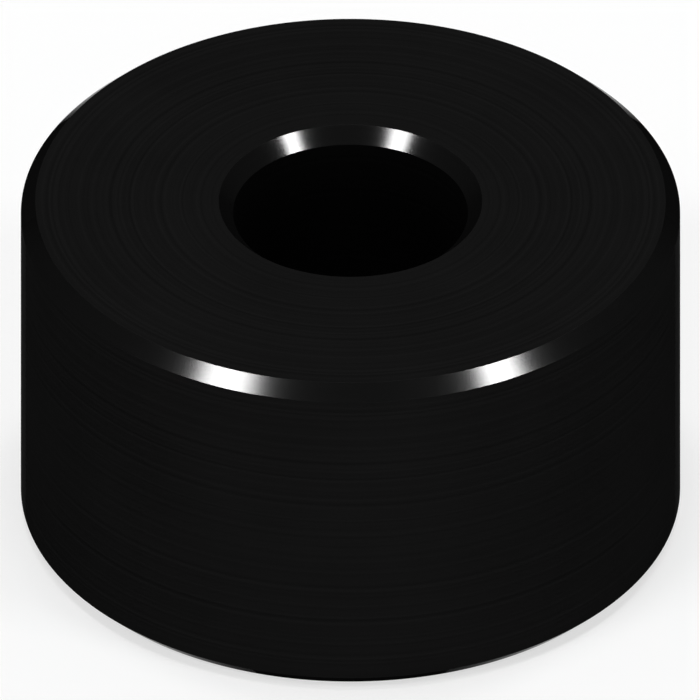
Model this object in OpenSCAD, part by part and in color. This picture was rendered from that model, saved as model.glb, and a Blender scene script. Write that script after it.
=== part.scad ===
// Plain round spacer: one turned ring with a through bore and a chamfer on every edge.
// Millimetres. The bore runs along Z, and the lower end face lies on Z = 0.

/* [Body] */
// Outside diameter of the ring
outer_d = 18; // [16:0.5:40]
// Length between the two end faces, which is the gap that the spacer keeps
length = 10; // [3:0.5:60]

/* [Bore] */
// Diameter of the through bore, a clearance hole for an M6 screw
bore_d = 6.4; // [3.2:0.1:11]

/* [Edges] */
// Size of the 45 degree chamfer round the outside of both ends
outer_chamfer = 0.4; // [0.1:0.05:1]
// Size of the 45 degree chamfer at both mouths of the bore
bore_chamfer = 0.4; // [0.1:0.05:1]

/* [Hidden] */

// Steps round the axis in a drawn circle
$fn = 180;

// Near-black, the same all over
finish_colour = "#131313";

outer_r = outer_d / 2;
bore_r = bore_d / 2;

// Each end face is the flat ring between its two chamfers
face_outer_r = outer_r - outer_chamfer;
face_inner_r = bore_r + bore_chamfer;

// Half section of the ring, as [radius, height], once round from the bore's lower mouth
section = [
    [face_inner_r, 0],
    [face_outer_r, 0],
    [outer_r, outer_chamfer],
    [outer_r, length - outer_chamfer],
    [face_outer_r, length],
    [face_inner_r, length],
    [bore_r, length - bore_chamfer],
    [bore_r, bore_chamfer]
];

// The whole part: its half section turned once about the bore's axis
module spacer() {
    color(finish_colour)
        rotate_extrude()
            polygon(section);
}

spacer();
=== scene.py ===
# Looks of the spacer: a black turned ring on a pale floor, seen from above in a parallel isometric view.
import math

import bpy
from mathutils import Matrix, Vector


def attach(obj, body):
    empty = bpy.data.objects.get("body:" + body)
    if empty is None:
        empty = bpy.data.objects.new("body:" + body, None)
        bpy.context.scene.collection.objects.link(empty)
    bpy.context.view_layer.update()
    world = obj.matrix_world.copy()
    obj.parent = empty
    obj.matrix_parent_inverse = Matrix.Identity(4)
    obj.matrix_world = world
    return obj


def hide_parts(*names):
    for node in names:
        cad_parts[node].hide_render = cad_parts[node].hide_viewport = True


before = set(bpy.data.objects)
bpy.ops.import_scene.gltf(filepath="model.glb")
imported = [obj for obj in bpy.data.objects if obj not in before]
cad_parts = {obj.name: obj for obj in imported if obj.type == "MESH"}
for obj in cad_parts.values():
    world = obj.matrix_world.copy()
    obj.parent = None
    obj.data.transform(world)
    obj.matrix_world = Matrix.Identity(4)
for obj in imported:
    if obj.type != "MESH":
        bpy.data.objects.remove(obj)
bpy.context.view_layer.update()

MM = 0.001
MICRON = 0.001 * MM

# Mesh of the ring

# Faces once round, and the longest face along the section
SEGMENTS = 320
LONGEST_FACE = 1.25 * MM
# The small round that breaks each edge, and the number of faces across it
EDGE_RADIUS = 0.02 * MM
EDGE_STEPS = 6
# Points this near to the top lie on the upper end face
SAME_HEIGHT = 0.001 * MM
# The unrolled UV map that an export bakes the finishes through, and the gap between its bands
UV_MAP = "OFBake"
BAND_GAP = 0.008
# Extra room on that map for narrow rows of faces, so that their edges stay crisp when baked
SMALLEST_ROW = 0.1 * MM
CHAMFER_STRETCH = 3.0


def ring_measures(node):
    """The radii and heights that set the ring's section, read from the solid's own corners."""
    points = [vertex.co for vertex in node.data.vertices]
    radii = [point.xy.length for point in points]
    low = min(point.z for point in points)
    high = max(point.z for point in points)
    face_radii = [point.xy.length for point in points if point.z > high - SAME_HEIGHT]
    return {
        "low": low,
        "high": high,
        "outer": max(radii),
        "bore": min(radii),
        "face_outer": max(face_radii),
        "face_inner": min(face_radii),
    }


def section_corners(ring):
    """Corners of the half section as (radius, height), with the finish of the run that leaves each one."""
    outer_chamfer = ring["outer"] - ring["face_outer"]
    bore_chamfer = ring["face_inner"] - ring["bore"]
    low, high = ring["low"], ring["high"]
    return [
        (ring["face_inner"], low, "face"),
        (ring["face_outer"], low, "chamfer"),
        (ring["outer"], low + outer_chamfer, "side"),
        (ring["outer"], high - outer_chamfer, "chamfer"),
        (ring["face_outer"], high, "face"),
        (ring["face_inner"], high, "chamfer"),
        (ring["bore"], high - bore_chamfer, "bore"),
        (ring["bore"], low + bore_chamfer, "chamfer"),
    ]


def broken_edge(before, corner, after):
    """The small round that breaks one corner, as pairs of a point and its outward normal."""
    along_in = (corner - before).normalized()
    along_out = (after - corner).normalized()
    turn = along_in.angle(along_out)
    normal = Vector((along_in.y, -along_in.x))
    start = corner - along_in * EDGE_RADIUS * math.tan(turn / 2)
    centre = start - normal * EDGE_RADIUS
    first = math.atan2(normal.y, normal.x)
    angles = [first + turn * step / EDGE_STEPS for step in range(EDGE_STEPS + 1)]
    normals = [Vector((math.cos(angle), math.sin(angle))) for angle in angles]
    return [(centre + normal * EDGE_RADIUS, normal) for normal in normals]


def ring_outline(corners):
    """The whole outline once round, as (point, normal, finish of the run that leaves the point)."""
    places = [Vector(corner[:2]) for corner in corners]
    finishes = [corner[2] for corner in corners]
    count = len(corners)
    rounds = [broken_edge(places[i - 1], places[i], places[(i + 1) % count]) for i in range(count)]
    outline = []
    for i in range(count):
        # Every second run is a chamfer, and a round takes the satin finish of the run on its other side
        satin = finishes[i - 1] if finishes[i] == "chamfer" else finishes[i]
        for point, normal in rounds[i][:-1]:
            outline.append((point, normal, satin))
        start, normal = rounds[i][-1]
        end = rounds[(i + 1) % count][0][0]
        steps = math.ceil((end - start).length / LONGEST_FACE)
        for step in range(steps):
            outline.append((start.lerp(end, step / steps), normal, finishes[i]))
    return outline


def map_rows(outline):
    """Where each row of faces starts and ends up the unrolled map, with a gap where the finish changes."""
    count = len(outline)
    heights, gaps = [], []
    for i in range(count):
        point, _, finish = outline[i]
        length = (outline[(i + 1) % count][0] - point).length
        stretch = CHAMFER_STRETCH if finish == "chamfer" else 1.0
        heights.append(max(length * stretch, SMALLEST_ROW))
        gaps.append(BAND_GAP if finish != outline[i - 1][2] else 0.0)
    scale = (1 - sum(gaps)) / sum(heights)
    rows = []
    place = 0.0
    for height, gap in zip(heights, gaps):
        start = place + gap
        place = start + height * scale
        rows.append((start, place))
    return rows


def turned_mesh(name, outline, finishes):
    """The outline turned once round Z, with exact normals, a material for each finish and a UV map."""
    rows = len(outline)
    bands = map_rows(outline)
    points, normals, faces, indices, unrolled = [], [], [], [], []
    for segment in range(SEGMENTS):
        angle = 2 * math.pi * segment / SEGMENTS
        cosine, sine = math.cos(angle), math.sin(angle)
        here = segment * rows
        there = (segment + 1) % SEGMENTS * rows
        left, right = segment / SEGMENTS, (segment + 1) / SEGMENTS
        for row, (point, normal, finish) in enumerate(outline):
            above = (row + 1) % rows
            bottom, top = bands[row]
            points.append((point.x * cosine, point.x * sine, point.y))
            normals.append((normal.x * cosine, normal.x * sine, normal.y))
            faces.append((here + row, there + row, there + above, here + above))
            indices.append(finishes.index(finish))
            unrolled += [left, bottom, right, bottom, right, top, left, top]
    mesh = bpy.data.meshes.new(name)
    mesh.from_pydata(points, [], faces)
    mesh.polygons.foreach_set("material_index", indices)
    mesh.polygons.foreach_set("use_smooth", [True] * len(faces))
    mesh.uv_layers.new(name=UV_MAP).uv.foreach_set("vector", unrolled)
    mesh.normals_split_custom_set_from_vertices(normals)
    mesh.validate()
    return mesh


# Black finish

# The three noises: how many to the metre, and how many finer octaves each one has
LINES_PER_METRE = 8000
LINE_OCTAVES = 2.0
GRAIN_PER_METRE = 30000
GRAIN_OCTAVES = 1.0
CLOUDS_PER_METRE = 350
CLOUD_OCTAVES = 3.0
# How far the noises swing the roughness and the colour, as shares of each
LINE_ROUGHNESS = 0.3
CLOUD_ROUGHNESS = 0.2
CLOUD_SHADE = 0.3
# Depth of the grain as a share of the depth of the lines
GRAIN_SHARE = 0.15
BLACK = (0.0, 0.0, 0.0, 1.0)

SATIN = {"metallic": 0.2, "roughness": 0.35, "line_depth": 1.5 * MICRON, "line_shade": 0.65}
POLISHED = {"metallic": 0.95, "roughness": 0.152, "line_depth": 0.05 * MICRON, "line_shade": 0.2}
# Colour of each run. The ring is one satin black all over. It is painted a little lighter on the end faces
# and darker on the side, as painted light and shade. It is darker still in the bore, as painted shade in
# the hollow. The polished chamfers are a finish of their own.
FINISHES = {
    "face": {"colour": 0.0078, **SATIN},
    "side": {"colour": 0.0062, **SATIN},
    "bore": {"colour": 0.0030, **SATIN},
    "chamfer": {"colour": 0.06, **POLISHED},
}


class Nodes:
    """Makes the nodes of one tree, each input set to a value or linked to the output that it is given."""

    def __init__(self, tree):
        self.tree = tree
        tree.nodes.clear()

    def add(self, kind, values=None, **settings):
        node = self.tree.nodes.new(kind)
        for key, value in settings.items():
            setattr(node, key, value)
        for key, value in (values or {}).items():
            if isinstance(value, bpy.types.NodeSocket):
                self.tree.links.new(value, node.inputs[key])
            else:
                node.inputs[key].default_value = value
        return node

    def math(self, operation, *values):
        node = self.add("ShaderNodeMath", dict(enumerate(values)), operation=operation)
        return node.outputs[0]

    def noise(self, dimensions, values):
        node = self.add("ShaderNodeTexNoise", values, noise_dimensions=dimensions)
        return node.outputs[0]

    def swing(self, noise, amount, middle):
        """A noise, which lies about one half, as a value that swings by amount about middle."""
        return self.math("MULTIPLY_ADD", noise, amount, middle - amount / 2)


def turned_noises(nodes):
    """Lines round the axis, a fine grain and broad clouds, each a noise that lies about one half."""
    place = nodes.add("ShaderNodeTexCoord").outputs["Object"]
    parts = nodes.add("ShaderNodeSeparateXYZ", {0: place}).outputs
    flat = nodes.add("ShaderNodeCombineXYZ", {"X": parts["X"], "Y": parts["Y"]})
    radius = nodes.add("ShaderNodeVectorMath", {0: flat.outputs[0]}, operation="LENGTH")
    along = nodes.math("ADD", parts["Z"], radius.outputs["Value"])
    lines = nodes.noise("1D", {"W": along, "Scale": LINES_PER_METRE, "Detail": LINE_OCTAVES})
    grain = nodes.noise("3D", {"Vector": place, "Scale": GRAIN_PER_METRE, "Detail": GRAIN_OCTAVES})
    clouds = nodes.noise("3D", {"Vector": place, "Scale": CLOUDS_PER_METRE, "Detail": CLOUD_OCTAVES})
    return lines, grain, clouds


def black_finish(name, colour, metallic, roughness, line_depth, line_shade):
    """Black anodised metal, with turning lines, grain and clouds in its colour, roughness and bump."""
    material = bpy.data.materials.new(name)
    material.use_nodes = True
    nodes = Nodes(material.node_tree)
    lines, grain, clouds = turned_noises(nodes)
    shade = nodes.math("ADD", nodes.swing(lines, line_shade, 1.0), nodes.swing(clouds, CLOUD_SHADE, 0.0))
    tint = nodes.add("ShaderNodeVectorMath", {0: (colour,) * 3, "Scale": shade}, operation="SCALE")
    rough = nodes.math(
        "ADD",
        nodes.swing(lines, LINE_ROUGHNESS * roughness, roughness),
        nodes.swing(clouds, CLOUD_ROUGHNESS * roughness, 0.0),
    )
    turned = nodes.add("ShaderNodeBump", {"Height": lines, "Distance": line_depth, "Strength": 1.0})
    grained = nodes.add(
        "ShaderNodeBump",
        {
            "Height": grain,
            "Distance": GRAIN_SHARE * line_depth,
            "Strength": 1.0,
            "Normal": turned.outputs[0],
        },
    )
    # No clear gloss over the black, and a black edge tint, keep the ring dark at low angles
    shader = nodes.add(
        "ShaderNodeBsdfPrincipled",
        {
            "Base Color": tint.outputs[0],
            "Metallic": metallic,
            "Roughness": rough,
            "Specular IOR Level": 0.0,
            "Specular Tint": BLACK,
            "Normal": grained.outputs[0],
        },
    )
    nodes.add("ShaderNodeOutputMaterial", {"Surface": shader.outputs[0]})
    return material


def make_ring(ring):
    """The spacer itself, in the place of its solid."""
    outline = ring_outline(section_corners(ring))
    mesh = turned_mesh("spacer_ring", outline, list(FINISHES))
    for name, finish in FINISHES.items():
        mesh.materials.append(black_finish("black_" + name, **finish))
    spacer = bpy.data.objects.new("spacer_ring", mesh)
    bpy.context.scene.collection.objects.link(spacer)
    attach(spacer, "root")
    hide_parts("spacer")


# Floor

# Half the floor's width in metres, and its drop under the ring, so that two faces never lie in one plane
FLOOR_HALF = 8.0
FLOOR_DROP = 0.005 * MM
FLOOR_COLOUR = (0.95, 0.95, 0.95, 1.0)
FLOOR_ROUGHNESS = 0.9
WHITE = (1.0, 1.0, 1.0, 1.0)
WHITE_SHARE = 0.6


def floor_finish():
    """Pale matt paint. Where it is seen or mirrored it is part plain white, so its shadow is faint."""
    material = bpy.data.materials.new("pale_floor")
    material.use_nodes = True
    nodes = Nodes(material.node_tree)
    paint = nodes.add(
        "ShaderNodeBsdfPrincipled",
        {"Base Color": FLOOR_COLOUR, "Roughness": FLOOR_ROUGHNESS, "Specular IOR Level": 0.0},
    )
    white = nodes.add("ShaderNodeEmission", {"Color": WHITE, "Strength": 1.0})
    path = nodes.add("ShaderNodeLightPath").outputs
    seen = nodes.math("MAXIMUM", path["Is Camera Ray"], path["Is Glossy Ray"])
    seen = nodes.math("MAXIMUM", seen, path["Is Transmission Ray"])
    share = nodes.math("MULTIPLY", seen, WHITE_SHARE)
    mix = nodes.add("ShaderNodeMixShader", {0: share, 1: paint.outputs[0], 2: white.outputs[0]})
    nodes.add("ShaderNodeOutputMaterial", {"Surface": mix.outputs[0]})
    return material


def make_floor(height):
    """A wide plain floor at a height just under the ring's lower face."""
    mesh = bpy.data.meshes.new("floor")
    half = FLOOR_HALF
    corners = [(-half, -half, height), (half, -half, height), (half, half, height), (-half, half, height)]
    mesh.from_pydata(corners, [], [(0, 1, 2, 3)])
    mesh.materials.append(floor_finish())
    floor = bpy.data.objects.new("floor", mesh)
    bpy.context.scene.collection.objects.link(floor)


# Light

# Levels of the world over and under the horizon
SKY = 0.025
GROUND = 0.995
LAMP_DISTANCE = 3.0
# Name, azimuth, elevation, width and height as seen from the ring, all four in degrees, radiance, shape.
# The overhead lamp and the canopy light the floor and the top. The narrow front lamps and the rear lamps
# show in the chamfers. The fill and the low lamps light the side.
LAMPS = [
    ("overhead", 0.0, 90.0, 12.0, 12.0, 27.0, "ELLIPSE"),
    ("canopy", 0.0, 90.0, 46.0, 46.0, 0.6, "ELLIPSE"),
    ("front_left", -50.2, 49.0, 16.7, 3.0, 45.0, "RECTANGLE"),
    ("front_right", 60.7, 46.4, 13.0, 3.0, 45.0, "RECTANGLE"),
    ("front_fill", 0.0, 22.0, 90.0, 30.0, 0.9, "RECTANGLE"),
    ("rear_left", -136.0, 55.0, 12.0, 12.0, 10.0, "RECTANGLE"),
    ("rear_right", 136.0, 55.0, 12.0, 12.0, 10.0, "RECTANGLE"),
    ("low_left", -60.0, 13.0, 20.0, 22.0, 4.0, "RECTANGLE"),
    ("low_right", 60.0, 13.0, 20.0, 22.0, 4.0, "RECTANGLE"),
]


def direction(azimuth, elevation):
    """Unit vector towards an azimuth, 0 at the front and positive to the right, and a height in degrees."""
    turn, lift = math.radians(azimuth), math.radians(elevation)
    return Vector((math.sin(turn) * math.cos(lift), -math.cos(turn) * math.cos(lift), math.sin(lift)))


def make_softbox(target, name, azimuth, elevation, width, height, radiance, shape):
    """A lamp that faces the target and fills width by height, in degrees, as seen from it."""
    light = bpy.data.lights.new(name, "AREA")
    light.shape = shape
    light.size = 2 * LAMP_DISTANCE * math.tan(math.radians(width) / 2)
    light.size_y = 2 * LAMP_DISTANCE * math.tan(math.radians(height) / 2)
    area = light.size * light.size_y
    if shape == "ELLIPSE":
        area *= math.pi / 4
    light.energy = radiance * math.pi * area
    lamp = bpy.data.objects.new(name, light)
    away = direction(azimuth, elevation)
    lamp.location = target + away * LAMP_DISTANCE
    lamp.rotation_euler = away.to_track_quat("Z", "Y").to_euler()
    bpy.context.scene.collection.objects.link(lamp)


def make_world():
    """A dim even sky, with everything under the horizon as pale as the floor."""
    world = bpy.data.worlds.new("studio")
    bpy.context.scene.world = world
    world.use_nodes = True
    nodes = Nodes(world.node_tree)
    way = nodes.add("ShaderNodeTexCoord").outputs["Generated"]
    height = nodes.add("ShaderNodeSeparateXYZ", {0: way}).outputs["Z"]
    under = nodes.math("LESS_THAN", height, 0.0)
    level = nodes.math("MULTIPLY_ADD", under, GROUND - SKY, SKY)
    back = nodes.add("ShaderNodeBackground", {"Color": level, "Strength": 1.0})
    nodes.add("ShaderNodeOutputWorld", {"Surface": back.outputs[0]})


# Camera

# The ring's width and the place of its centre, in pixels of the square photograph
IMAGE_SIDE_PX = 700.0
RING_WIDTH_PX = 659.4
RING_CENTRE_PX = (350.5, 350.2)
# Elevation of an isometric view in degrees
ISOMETRIC = math.degrees(math.atan(1 / math.sqrt(2)))
CAMERA_DISTANCE = 0.5


def make_camera(target, ring_width):
    """A parallel camera at the isometric angle, framed as in the photograph."""
    data = bpy.data.cameras.new("camera")
    data.type = "ORTHO"
    data.ortho_scale = ring_width * IMAGE_SIDE_PX / RING_WIDTH_PX
    camera = bpy.data.objects.new("camera", data)
    away = direction(0.0, ISOMETRIC)
    turn = away.to_track_quat("Z", "Y")
    pixel = data.ortho_scale / IMAGE_SIDE_PX
    right = (IMAGE_SIDE_PX / 2 - RING_CENTRE_PX[0]) * pixel
    up = (RING_CENTRE_PX[1] - IMAGE_SIDE_PX / 2) * pixel
    camera.location = target + away * CAMERA_DISTANCE + turn @ Vector((right, up, 0.0))
    camera.rotation_euler = turn.to_euler()
    bpy.context.scene.collection.objects.link(camera)
    bpy.context.scene.camera = camera


# Scene

ring = ring_measures(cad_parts["spacer"])
centre = Vector((0.0, 0.0, (ring["low"] + ring["high"]) / 2))
make_ring(ring)
make_floor(ring["low"] - FLOOR_DROP)
for lamp in LAMPS:
    make_softbox(centre, *lamp)
make_world()
make_camera(centre, 2 * ring["outer"])
bpy.context.scene.view_settings.view_transform = "Standard"
